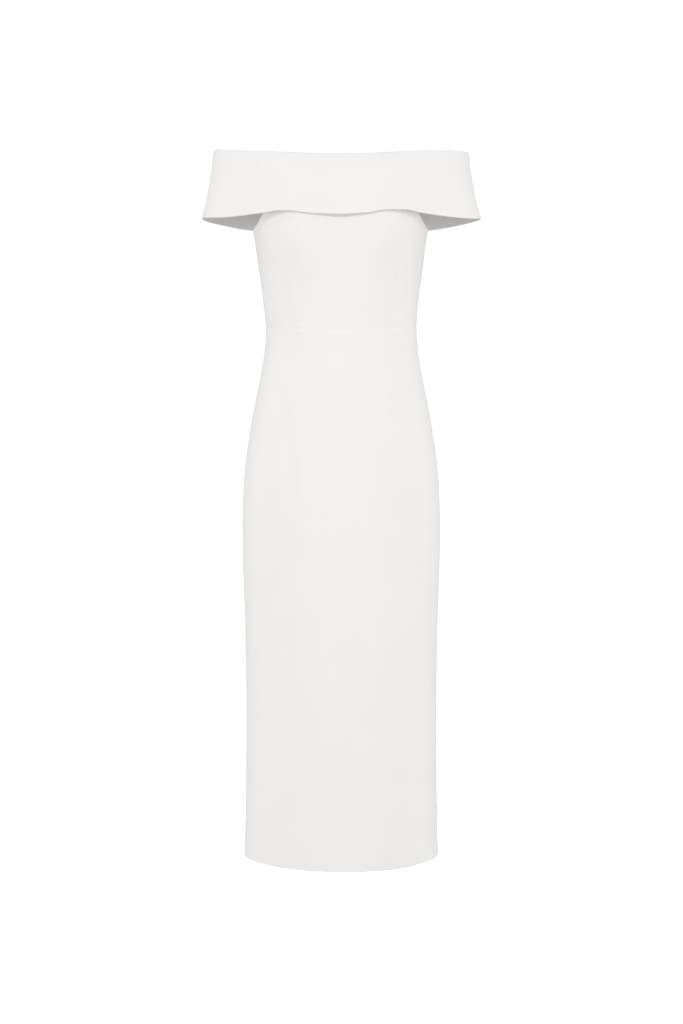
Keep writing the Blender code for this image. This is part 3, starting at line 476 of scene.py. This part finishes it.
# Bodice side fronts: shaped panels of the same crepe between the side front seam and the side seam.
# Their outer top edge is the armhole, which is turned in and left plain under the band.
ARMHOLE_FRONT = [(0.000, 0.1466), (0.0035, 0.1420), (0.0109, 0.1358), (0.0208, 0.1292),
                 (0.030, 0.1245), (0.045, 0.1190), (0.080, 0.1140), (0.130, 0.1125)]
ARMHOLE_BACK = [(0.000, 0.1466), (0.0035, 0.1412), (0.010, 0.1345), (0.0244, 0.1260),
                (0.045, 0.1210), (0.080, 0.1190), (0.130, 0.1190)]
FRONT_QUARTER = 0.19      # a quarter of the dress round the bust, in front


def armhole_run(rows, fold, side, front):
    """The armhole's edge from the underarm to the neckline, evenly along its length."""
    edge = smooth_line(rows)
    top = NECK
    for _ in range(8):
        top = float(fold(np.array(side * edge(top)))) - BELOW_FOLD
    z = np.concatenate([np.linspace(0, 0.012, 80), np.linspace(0.0124, top, 140)])
    q = body_form.place(z, edge(z), front)
    q[0] = 1.0
    x, y = body_form.point(q, z)
    steps = np.sqrt(np.diff(x) ** 2 + np.diff(y) ** 2 + np.diff(z) ** 2)
    run = np.concatenate([[0.0], np.cumsum(steps)])
    return lambda v: (np.interp(v * run[-1], run, q), np.interp(v * run[-1], run, z))


def between_edges(s, v, low, high, left, right):
    """A place between four edges, each a function from 0 to 1 to a place on the dress."""
    out = []
    zero = np.zeros_like(s)
    one = np.ones_like(s)
    for k in (0, 1):
        edge = (1 - v) * low(s)[k] + v * high(s)[k]
        side = (1 - s) * left(v)[k] + s * right(v)[k]
        flat = ((1 - s) * (1 - v) * low(zero)[k] + s * (1 - v) * low(one)[k]
                + (1 - s) * v * high(zero)[k] + s * v * high(one)[k])
        out.append(edge + side - flat)
    return out


def lay_side(side):
    arm = armhole_run(ARMHOLE_FRONT, fold_front, side, True)
    half = SEAM_SPACE / 2
    start = princess_q(UNDERARM) + half / FRONT_QUARTER
    end = 1 - half / FRONT_QUARTER
    inner_q = princess_q(0.1175)
    inner_z = float(neck_level(np.array(side * inner_q)))

    def low(s):
        return start + (end - start) * s, np.full_like(s, UNDERARM)

    def left(v):
        z = UNDERARM + (inner_z - UNDERARM) * v
        return princess_q(z) + half / FRONT_QUARTER, z

    def right(v):
        q, z = arm(v)
        return np.minimum(q, end), z

    def high(s):
        a = left(np.ones_like(s))
        b = right(np.ones_like(s))
        return a[0] + (b[0] - a[0]) * s, a[1] + (b[1] - a[1]) * s

    def lay(s, t):
        # t runs 0 to 1 from the waist to the underarm and 1 to 2 from there to the neckline
        waist_q = princess_q(WAIST_BACK) + (1 - princess_q(WAIST_BACK)) * s
        bottom = waist_level(side * waist_q) + half
        z = bottom + (UNDERARM - bottom) * np.clip(t, 0, 1)
        a = princess_q(z) + half / FRONT_QUARTER
        q = a + (end - a) * s
        q_top, z_top = between_edges(s, np.clip(t - 1, 0, 1), low, high, left, right)
        above = t > 1
        return body_surface(side * np.where(above, q_top, q), np.where(above, z_top, z))

    return lay


below = stops(52, near(0.164), ())
above = 1 + stops(34, near(0.118), near(0.118))[1:]
for word, side in (("left", 1), ("right", -1)):
    panel = cut_panel("bodice_side_" + word, stops(36, near(0.105), near(0.105)),
                      np.concatenate([below, above]), lay_side(side))
    panel.data.materials.append(crepe("crepe, bodice side front " + word))
    give_thickness(panel, CREPE_THICK, CREPE_EDGE)
    sew_on(panel, "bodice_front_" + word)


# Bodice backs: two plain panels, each with one waist dart, from the side seams to the zip.
# Their centre edges meet over the zip's coil; the armhole is turned in as on the front.
ZIP_SPACE = 0.0006
BACK_QUARTER = 0.17       # a quarter of the dress round the bust, behind


def lay_back(side):
    arm = armhole_run(ARMHOLE_BACK, fold_back, side, False)
    half = SEAM_SPACE / 2
    centre_z = float(fold_back(np.array(0.0))) - BELOW_FOLD
    start = 1 + half / BACK_QUARTER
    end = 2 - ZIP_SPACE / 2 / BACK_QUARTER

    def low(s):
        return start + (end - start) * s, np.full_like(s, UNDERARM)

    def right(v):
        z = UNDERARM + (centre_z - UNDERARM) * v
        return np.full_like(v, end), z

    def left(v):
        q, z = arm(v)
        return np.maximum(q, start), z

    def high(s):
        a = left(np.ones_like(s))
        q = a[0] + (end - a[0]) * s
        return q, np.where(s <= 0, a[1], neck_level(side * q, False))

    def lay(s, t):
        waist_q = 1.0001 + 0.9999 * s
        bottom = waist_level(side * waist_q) + half
        z = bottom + (UNDERARM - bottom) * np.clip(t, 0, 1)
        q = start + (end - start) * s
        q_top, z_top = between_edges(s, np.clip(t - 1, 0, 1), low, high, left, right)
        above = t > 1
        return body_surface(side * np.where(above, q_top, q), np.where(above, z_top, z))

    return lay


for word, side in (("left", 1), ("right", -1)):
    panel = cut_panel("bodice_back_panel_" + word, stops(80, near(0.175), near(0.175)),
                      np.concatenate([below, above]), lay_back(side))
    panel.data.materials.append(crepe("crepe, bodice back " + word))
    give_thickness(panel, CREPE_THICK, CREPE_EDGE)
    sew_on(panel, "bodice_back_" + word)


# Skirt front: one long panel cut on the straight, with two short waist darts under the side
# front seams. Its hem is turned up inside and blind-stitched: a faint line shows above the edge.
HEM_FRONT = [(0.0, -1.0634, -1.0634), (0.0900, -1.0620, -1.0630), (0.1300, -1.0605, -1.0605),
             (0.1640, -1.0598, -1.0588)]
HEM_TURN = 0.045
HEM_ROLL = 0.00105
hem_front = edge_line(HEM_FRONT)
HEM_NEAR = (0.0008, 0.0020, 0.0045, 0.0100, 0.0200, 0.0320, 0.0420, 0.0436, 0.0450, 0.0464, 0.0480)
WAIST_NEAR = (0.0006, 0.0013, 0.0022, 0.0035, 0.0055, 0.0075, 0.0090, 0.0100, 0.0112, 0.0130, 0.0160)


def hem_level(q):
    """Level of the skirt's lower edge: the front dips a little, the back is level."""
    q = np.asarray(q, float)
    x, _ = body_form.point(q, np.full(q.shape, -1.06))
    return np.where(np.abs(q) <= 1, hem_front(x), hem_front(np.copysign(0.164, q)))


def hem_relief(q, z):
    """The turned-up hem's upper edge: a faint line with a tiny pull at each blind stitch."""
    rise = z - hem_level(q) - HEM_TURN
    along = np.abs(q) * body_form.round(q, z)
    pull = 0.5 + 0.5 * np.cos(along * 2 * math.pi / 0.009)
    return -0.00016 * np.exp(-(rise / 0.0016) ** 2) * (0.5 + pull)


def skirt_place(low, high, t):
    """Level, and depth behind the outside.

    t runs from -2 to -1 down the turned-up hem, to 0 round its fold and to 1 up the skirt.
    """
    angle = np.clip(-t, 0, 1) * math.pi
    outside = low + HEM_ROLL + (high - low - HEM_ROLL) * np.clip(t, 0, 1)
    turned = (HEM_TURN - HEM_ROLL) * np.clip(-1 - t, 0, 1)
    z = np.where(t > 0, outside, low + HEM_ROLL * (1 - np.sin(angle)) + turned)
    return z, HEM_ROLL * (1 - np.cos(angle))


def skirt_surface(q, z, depth):
    p = body_surface(q, z)
    out = p * (0.5, 1.0, 0.0)
    out /= np.linalg.norm(out, axis=-1, keepdims=True)
    return p + out * (hem_relief(q, z) - depth)[..., None]


def lay_skirt_front(s, t):
    """Across: 0 to 1 from the right side seam to the right dart, to 2 at the left dart, to 3."""
    low = hem_level(s * 2 / 3 - 1)
    rough = np.interp(s, [0, 1, 2, 3], [-1, -0.45, 0.45, 1])
    high = waist_level(rough) - SEAM_SPACE / 2
    z, depth = skirt_place(low, high, t)
    dart = front_dart_q(z)
    end = 1 - SEAM_SPACE / 2 / body_form.round(np.zeros_like(z), z)
    q = np.where(s < 1, -end + (end - dart) * s,
                 np.where(s < 2, -dart + 2 * dart * (s - 1), dart + (end - dart) * (s - 2)))
    return skirt_surface(q, z, depth)


DART_NEAR = (0.0006, 0.0013, 0.0022, 0.0035, 0.0055)
skirt_up = stops(150, near(0.898, HEM_NEAR), near(0.898, WAIST_NEAR))
skirt_up = np.concatenate([stops(7, near(HEM_TURN), near(HEM_TURN))[:-1] - 2,
                           np.linspace(-1, 0, 8)[:-1], skirt_up])
outer_run = stops(26, near(0.090), near(0.090, DART_NEAR))
middle_run = stops(40, near(0.150, DART_NEAR), near(0.150, DART_NEAR))
inner_run = stops(26, near(0.090, DART_NEAR), near(0.090))
skirt_across = np.concatenate([outer_run, 1 + middle_run[1:], 2 + inner_run[1:]])
skirt = cut_panel("skirt_front_panel", skirt_across, skirt_up, lay_skirt_front)
skirt.data.materials.append(crepe("crepe, skirt front"))
give_thickness(skirt, CREPE_THICK, CREPE_EDGE)
sew_on(skirt, "skirt_front")


# Skirt backs: two panels joined down the centre back, over the zip and then in a plain seam,
# and left open at the foot as a short slit. Each has one waist dart.
ZIP_FOOT = -0.3900
SLIT_TOP = -0.8600
SLIT_LONG = 0.2000
SLIT_OPEN = 0.0060


def lay_skirt_back(side):
    def lay(s, t):
        """Across: 0 to 1 from the side seam to the dart, to 2 at the centre back."""
        rough = 1.0001 + 0.9999 * s / 2
        low = hem_level(side * rough)
        high = waist_level(side * rough) - SEAM_SPACE / 2
        z, depth = skirt_place(low, high, t)
        down = np.clip((SLIT_TOP - z) / SLIT_LONG, 0, 1)
        slit = SEAM_SPACE + (SLIT_OPEN - SEAM_SPACE) * down ** 1.4
        space = np.where(z > ZIP_FOOT, ZIP_SPACE, slit)
        way = body_form.round(np.full_like(z, 1.5), z)
        start = 1 + SEAM_SPACE / 2 / way
        end = 2 - space / 2 / way
        dart = back_dart_q(z)
        q = np.where(s < 1, start + (dart - start) * s, dart + (end - dart) * (s - 1))
        return skirt_surface(side * q, z, depth)

    return lay


back_outer = stops(34, near(0.120), near(0.120, DART_NEAR))
back_inner = stops(26, near(0.070, DART_NEAR), near(0.070))
for word, side in (("left", 1), ("right", -1)):
    panel = cut_panel("skirt_back_panel_" + word, np.concatenate([back_outer, 1 + back_inner[1:]]),
                      skirt_up, lay_skirt_back(side))
    panel.data.materials.append(crepe("crepe, skirt back " + word))
    give_thickness(panel, CREPE_THICK, CREPE_EDGE)
    sew_on(panel, "skirt_back_" + word)


# Folded-over band: a deep strip of crepe, doubled, sewn into the neckline and folded down over
# the bust, back and upper arms. Its foot is a soft fold, its top the roll of the fold-over.
BAND_COLUMNS = ("rise", "half", "front", "back", "square")
BAND_SECTIONS = [
    (0.000, 0.2352, 0.1242, 0.1006, 1.72),
    (0.148, 0.2302, 0.1234, 0.1003, 1.73),
    (0.267, 0.2267, 0.1225, 0.0996, 1.75),
    (0.386, 0.2239, 0.1213, 0.0985, 1.79),
    (0.505, 0.2213, 0.1199, 0.0972, 1.85),
    (0.623, 0.2191, 0.1179, 0.0958, 1.93),
    (0.742, 0.2171, 0.1152, 0.0941, 2.04),
    (0.859, 0.2156, 0.1118, 0.0922, 2.17),
    (0.960, 0.2144, 0.1086, 0.0906, 2.28),
    (1.000, 0.2132, 0.1072, 0.0899, 2.30),
]
EDGE_FRONT = [(0.0, 0.0178, 0.0178), (0.0450, 0.0197, 0.0208), (0.0650, 0.0218, 0.0247),
              (0.0850, 0.0247, 0.0266), (0.1040, 0.0252, 0.0268), (0.1240, 0.0224, 0.0236),
              (0.1430, 0.0209, 0.0209), (0.1730, 0.0182, 0.0182), (0.1970, 0.0177, 0.0172),
              (0.2220, 0.0196, 0.0180), (0.2352, 0.0217, 0.0206)]
EDGE_BACK = [(0.0, 0.0020, 0.0020), (0.0900, 0.0026, 0.0026), (0.1510, 0.0054, 0.0060),
             (0.1790, 0.0083, 0.0090), (0.1990, 0.0118, 0.0122), (0.2190, 0.0152, 0.0158),
             (0.2337, 0.0192, 0.0192), (0.2352, 0.0217, 0.0206)]
BAND_THICK = 0.0024
BAND_RAISE = 0.0009
BAND_DEEP = 0.11
BAND_QUARTER = 0.29       # a quarter of the band round its foot
BAND_MID_QUARTER = 0.28   # and half way up
BAND_SEAM_DEPTH = 0.0006
# Soft folds of the band: side, place round it (0 centre front to 2 centre back), rise, spreads,
# lean, height
BAND_FOLDS = [
    (1, 0.70, 0.45, 0.10, 0.16, 0.10, 0.0011),
    (-1, 0.76, 0.55, 0.12, 0.14, -0.12, -0.0010),
    (1, 0.88, 0.70, 0.09, 0.10, -0.10, -0.0009),
    (-1, 0.92, 0.35, 0.08, 0.14, 0.10, 0.0009),
    (1, 0.30, 0.30, 0.16, 0.20, 0.00, -0.0007),
    (-1, 0.22, 0.62, 0.18, 0.16, 0.00, 0.0006),
    (1, 1.20, 0.50, 0.10, 0.14, 0.10, -0.0010),
    (-1, 1.26, 0.60, 0.11, 0.15, -0.10, 0.0010),
    (1, 1.60, 0.40, 0.14, 0.18, 0.00, 0.0007),
    (-1, 1.66, 0.52, 0.15, 0.18, 0.00, -0.0008),
]
band_form = Form(BAND_COLUMNS, BAND_SECTIONS, 0.0, 1.0, 160)
edge_front = edge_line(EDGE_FRONT)
edge_back = edge_line(EDGE_BACK)


def band_surface(q, v):
    """Points on the outside of the band at v from its foot to its fold."""
    zero = np.zeros_like(v)
    foot_x, _ = band_form.point(q, zero)
    top_x, _ = band_form.point(q, zero + 1)
    x, y = band_form.point(q, v)
    a = np.abs(q)
    low = np.where(a <= 1, edge_front(foot_x), edge_back(foot_x))
    high = np.where(a <= 1, fold_front(top_x), fold_back(top_x)) + BAND_RAISE
    h = zero.copy()
    for side, place, rise, across, up, lean, height in BAND_FOLDS:
        off = a - place - lean * (v - rise)
        h += np.where(side * q > 0, height * np.exp(-(off / across) ** 2 - ((v - rise) / up) ** 2), 0.0)
    # the two layers are caught together at the side seams and the centre back
    for line in (1.0, 2.0):
        d = np.abs(a - line) * BAND_MID_QUARTER
        h += groove(d, SEAM_WIDTH, BAND_SEAM_DEPTH)
    out = np.stack([x * 0.5, y, zero], -1)
    out /= np.linalg.norm(out, axis=-1, keepdims=True)
    return np.stack([x, y, low + (high - low) * v], -1) + out * h[..., None]


def make_band(name, first, last, count):
    """The doubled strip: a closed section, out, over the fold, in and under the foot, carried round."""
    radius = BAND_THICK / 2
    turn = 6
    v_foot = radius / BAND_DEEP
    outer = stops(40, near(BAND_DEEP, (0.002, 0.005)), near(BAND_DEEP, (0.002, 0.005)))
    rolls = np.linspace(0, 1, turn + 1)[1:-1]
    # section stops: kind 0 outside, 1 over the fold, 2 inside, 3 under the foot
    section = [(0, v) for v in outer] + [(1, r) for r in rolls]
    section += [(2, 1 - v) for v in outer] + [(3, r) for r in rolls] + [(0, 0.0)]
    kinds = np.array([k for k, _ in section])
    values = np.array([v for _, v in section])
    index = np.arange(len(section), dtype=float)
    length = BAND_QUARTER * abs(last - first)
    around = stops(count, near(length), near(length))

    def lay(s, t):
        kind = kinds[t.astype(int)]
        value = values[t.astype(int)]
        q = first + (last - first) * s
        v = np.where(kind == 1, 1.0, np.where(kind == 3, 0.0, value))
        v = v_foot + (1 - 2 * v_foot) * v
        p = band_surface(q, v)
        dq = 0.002
        dv = 0.01
        ahead = band_surface(np.where(q > last - 2 * dq, q, q + dq), v)
        behind = band_surface(np.where(q > last - 2 * dq, q - dq, q), v)
        up = band_surface(q, np.minimum(v + dv, 1.0)) - band_surface(q, np.maximum(v - dv, 0.0))
        n = np.cross(ahead - behind, up)
        n /= np.linalg.norm(n, axis=-1, keepdims=True)
        up /= np.linalg.norm(up, axis=-1, keepdims=True)
        angle = math.pi * np.select([kind == 1, kind == 2, kind == 3], [value, 1.0, 1 + value], 0.0)
        middle = p - n * radius
        return middle + n * (radius * np.cos(angle))[..., None] + up * (radius * np.sin(angle))[..., None]

    band = cut_panel(name, around, index, lay)
    bm = bmesh.new()
    bm.from_mesh(band.data)
    bmesh.ops.remove_doubles(bm, verts=bm.verts, dist=1e-6)
    ends = [e for e in bm.edges if e.is_boundary]
    bmesh.ops.holes_fill(bm, edges=ends, sides=0)
    bmesh.ops.recalc_face_normals(bm, faces=bm.faces)
    bm.to_mesh(band.data)
    bm.free()
    return band


half_seam = SEAM_SPACE / 2 / BAND_QUARTER
half_zip = ZIP_SPACE / 2 / BAND_QUARTER
for name, node, first, last, count, wide in (
        ("band_over_front", "band_front", -1 + half_seam, 1 - half_seam, 170, 0.600),
        ("band_over_back_left", "band_back_left", 1 + half_seam, 2 - half_zip, 86, 0.300),
        ("band_over_back_right", "band_back_right", -2 + half_zip, -1 - half_seam, 86, 0.300)):
    band = make_band(name, first, last, count)
    band.data.materials.append(crepe("crepe, " + name.replace("_", " ")))
    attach(band, "dress")
    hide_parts(node)


# Concealed zip: two woven tapes sewn to the back edges from inside, with a nylon coil between.
# The coil lies behind the centre back; only the slider and its tab show outside.
TAPE_HALF = 0.0105
TAPE_TOP = 0.1130
TAPE_IN = 0.0025
TAPE_THICK = 0.0005
COIL_PITCH = 0.0015
COIL_RADIUS = 0.0007


def tape_surface(x, z, inward):
    """Points behind the centre back, a little in from the cloth."""
    q = np.where(x >= 0, 1, -1) * (2 - np.abs(x) / body_form.round(np.full_like(z, 1.5), z))
    px, py = body_form.point(q, z)
    return np.stack([px, py - inward, z], -1)


def woven_tape(name):
    mat = bpy.data.materials.new(name)
    mat.use_nodes = True
    nodes = mat.node_tree.nodes
    links = mat.node_tree.links
    shader = nodes["Principled BSDF"]
    place = nodes.new("ShaderNodeTexCoord")
    rib = nodes.new("ShaderNodeTexWave")
    rib.bands_direction = "Z"
    rib.inputs["Scale"].default_value = 420.0
    rib.inputs["Distortion"].default_value = 0.4
    links.new(place.outputs["Object"], rib.inputs["Vector"])
    bump = nodes.new("ShaderNodeBump")
    bump.inputs["Strength"].default_value = 0.4
    bump.inputs["Distance"].default_value = 0.0002
    links.new(rib.outputs["Fac"], bump.inputs["Height"])
    links.new(bump.outputs["Normal"], shader.inputs["Normal"])
    tint = nodes.new("ShaderNodeValToRGB")
    tint.color_ramp.elements[0].color = (0.74, 0.735, 0.72, 1)
    tint.color_ramp.elements[1].color = (0.80, 0.795, 0.78, 1)
    links.new(rib.outputs["Fac"], tint.inputs["Fac"])
    links.new(tint.outputs["Color"], shader.inputs["Base Color"])
    shader.inputs["Roughness"].default_value = 0.7
    return mat


def lay_tape(s, t):
    z = ZIP_FOOT + (TAPE_TOP - ZIP_FOOT) * t
    return tape_surface((2 * s - 1) * TAPE_HALF, z, TAPE_IN)


tape = cut_panel("zip_tapes", stops(12), stops(150), lay_tape)
tape.data.materials.append(woven_tape("woven zip tape"))
give_thickness(tape, TAPE_THICK, 0.0001)
coil_mesh = bpy.data.meshes.new("zip_coil")
bm = bmesh.new()
turns = int((TAPE_TOP - ZIP_FOOT - 0.010) / COIL_PITCH)
levels = ZIP_FOOT + 0.004 + np.arange(turns) * COIL_PITCH
middles = tape_surface(np.zeros(turns), levels, TAPE_IN + TAPE_THICK + COIL_RADIUS)
for k, middle in enumerate(middles):
    made = bmesh.ops.create_cube(bm, size=1.0)["verts"]
    bmesh.ops.scale(bm, vec=(0.0036, 0.0011, 0.0009), verts=made)
    bmesh.ops.translate(bm, vec=Vector(middle) + Vector((0.0006 if k % 2 else -0.0006, 0, 0)), verts=made)
bmesh.ops.bevel(bm, geom=bm.edges[:], offset=0.00022, segments=1, affect="EDGES", profile=0.5, material=-1)
for f in bm.faces:
    f.smooth = True
bm.to_mesh(coil_mesh)
bm.free()
coil = bpy.data.objects.new("zip_coil", coil_mesh)
bpy.context.scene.collection.objects.link(coil)


def nylon(name):
    """Drawn nylon: milky, with fine lines along the filament and a slight unevenness of its dye."""
    mat = bpy.data.materials.new(name)
    mat.use_nodes = True
    nodes = mat.node_tree.nodes
    links = mat.node_tree.links
    shader = nodes["Principled BSDF"]
    place = nodes.new("ShaderNodeTexCoord")
    along = nodes.new("ShaderNodeMapping")
    along.inputs["Scale"].default_value = (0.25, 1.0, 1.0)
    links.new(place.outputs["Object"], along.inputs["Vector"])
    drawn = nodes.new("ShaderNodeTexNoise")
    drawn.inputs["Scale"].default_value = 3200.0
    links.new(along.outputs["Vector"], drawn.inputs["Vector"])
    bump = nodes.new("ShaderNodeBump")
    bump.inputs["Strength"].default_value = 0.15
    bump.inputs["Distance"].default_value = 0.0001
    links.new(drawn.outputs["Fac"], bump.inputs["Height"])
    links.new(bump.outputs["Normal"], shader.inputs["Normal"])
    dye = nodes.new("ShaderNodeValToRGB")
    dye.color_ramp.elements[0].color = (0.76, 0.752, 0.735, 1)
    dye.color_ramp.elements[1].color = (0.80, 0.792, 0.775, 1)
    links.new(drawn.outputs["Fac"], dye.inputs["Fac"])
    links.new(dye.outputs["Color"], shader.inputs["Base Color"])
    shader.inputs["Roughness"].default_value = 0.38
    return mat


coil.data.materials.append(nylon("nylon zip coil"))
for piece in (tape, coil):
    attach(piece, "dress")
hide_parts("zip_tape")


# Slider and pull tab: die-cast zinc with white enamel, at the top of the zip behind.
# They are the frame's own solids.
def enamel(name):
    mat = bpy.data.materials.new(name)
    mat.use_nodes = True
    nodes = mat.node_tree.nodes
    links = mat.node_tree.links
    shader = nodes["Principled BSDF"]
    place = nodes.new("ShaderNodeTexCoord")
    orange_peel = nodes.new("ShaderNodeTexNoise")
    orange_peel.inputs["Scale"].default_value = 900.0
    links.new(place.outputs["Object"], orange_peel.inputs["Vector"])
    bump = nodes.new("ShaderNodeBump")
    bump.inputs["Strength"].default_value = 0.08
    bump.inputs["Distance"].default_value = 0.0001
    links.new(orange_peel.outputs["Fac"], bump.inputs["Height"])
    links.new(bump.outputs["Normal"], shader.inputs["Normal"])
    shade = nodes.new("ShaderNodeValToRGB")
    shade.color_ramp.elements[0].color = (0.72, 0.715, 0.70, 1)
    shade.color_ramp.elements[1].color = (0.80, 0.795, 0.78, 1)
    links.new(orange_peel.outputs["Fac"], shade.inputs["Fac"])
    links.new(shade.outputs["Color"], shader.inputs["Base Color"])
    shader.inputs["Roughness"].default_value = 0.30
    shader.inputs["Coat Weight"].default_value = 0.4
    return mat


for node in ("zip_slider", "zip_pull_tab"):
    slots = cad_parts[node].material_slots
    for slot in slots:
        slot.material = enamel("white enamel, " + node.replace("_", " "))


# Floor and backdrop: a wide round of matt white board well below the hem, and a white room round it.
# They aren't part of the dress. They are lit by themselves and throw nothing back on the cloth.
FLOOR = -1.750
FLOOR_RADIUS = 40.0


def studio_white(name, base, glow):
    mat = bpy.data.materials.new(name)
    mat.use_nodes = True
    shader = mat.node_tree.nodes["Principled BSDF"]
    shader.inputs["Base Color"].default_value = (base, base, base, 1)
    shader.inputs["Roughness"].default_value = 0.9
    shader.inputs["Specular IOR Level"].default_value = 0.1
    shader.inputs["Emission Color"].default_value = (1, 1, 1, 1)
    shader.inputs["Emission Strength"].default_value = glow
    return mat


def stage_piece(name, bm, mat):
    mesh = bpy.data.meshes.new(name)
    bm.to_mesh(mesh)
    bm.free()
    piece = bpy.data.objects.new(name, mesh)
    bpy.context.scene.collection.objects.link(piece)
    piece.data.materials.append(mat)
    piece.visible_diffuse = False
    piece.visible_glossy = False
    piece.visible_shadow = False


bm = bmesh.new()
bmesh.ops.create_circle(bm, cap_ends=True, segments=96, radius=FLOOR_RADIUS)
bmesh.ops.translate(bm, vec=(0.0, 0.0, FLOOR), verts=bm.verts)
stage_piece("studio_floor", bm, studio_white("matt white board", 0.90, 0.62))
bm = bmesh.new()
bmesh.ops.create_uvsphere(bm, u_segments=48, v_segments=24, radius=FLOOR_RADIUS)
bmesh.ops.reverse_faces(bm, faces=bm.faces)
stage_piece("studio_backdrop", bm, studio_white("white backdrop", 0.0, 1.05))


# Light: an even room with a soft box on each side in front, one high between them, which draws
# the shadow under the band, and one behind. The tones stay as the lights give them.
ROOM = 0.62
# name, turn from the front in degrees, distance, level, width, height, watts
SOFT_BOXES = [("left soft box", 63, 3.9, -0.5, 1.7, 1.3, 52.0),
              ("right soft box", -63, 3.9, -0.5, 1.7, 1.3, 52.0),
              ("front soft box", 0, 3.8, 1.8, 1.6, 1.0, 49.0),
              ("back soft box", 180, 4.0, 0.3, 1.8, 1.3, 50.0)]
LIT_LEVEL = -0.35
scene = bpy.context.scene
world = bpy.data.worlds.new("soft studio")
scene.world = world
world.use_nodes = True
world.node_tree.nodes["Background"].inputs["Color"].default_value = (1.0, 1.0, 1.0, 1.0)
world.node_tree.nodes["Background"].inputs["Strength"].default_value = ROOM
for name, turn, away, level, wide, tall, power in SOFT_BOXES:
    lamp = bpy.data.lights.new(name, "AREA")
    lamp.shape = "RECTANGLE"
    lamp.size = wide
    lamp.size_y = tall
    lamp.energy = power
    box = bpy.data.objects.new(name, lamp)
    scene.collection.objects.link(box)
    box.location = (away * math.sin(math.radians(turn)), -away * math.cos(math.radians(turn)), level)
    aim = Vector((0.0, 0.0, LIT_LEVEL)) - box.location
    box.rotation_euler = aim.to_track_quat("-Z", "Y").to_euler()
    box.visible_camera = False
scene.view_settings.view_transform = "Standard"
scene.view_settings.look = "None"


# Camera: level with the hips and 3.4 m away, as the photograph's long lens was, looking
# very slightly down so that the dress's middle is at the picture's centre.
MIDDLE = -0.4731
DISTANCE = 3.40
RAISED = 0.207
PIXELS_A_METRE = 590.0
PICTURE_TALL = 1024
lens = bpy.data.cameras.new("photo camera")
camera = bpy.data.objects.new("photo camera", lens)
scene.collection.objects.link(camera)
camera.location = (0.0003, -DISTANCE, MIDDLE + RAISED)
look = Vector((0.0003, 0.0, MIDDLE)) - camera.location
camera.rotation_euler = look.to_track_quat("-Z", "Y").to_euler()
lens.sensor_fit = "VERTICAL"
lens.sensor_height = 36.0
lens.lens = PIXELS_A_METRE * look.length / PICTURE_TALL * 36.0
lens.clip_end = 60.0
scene.camera = camera
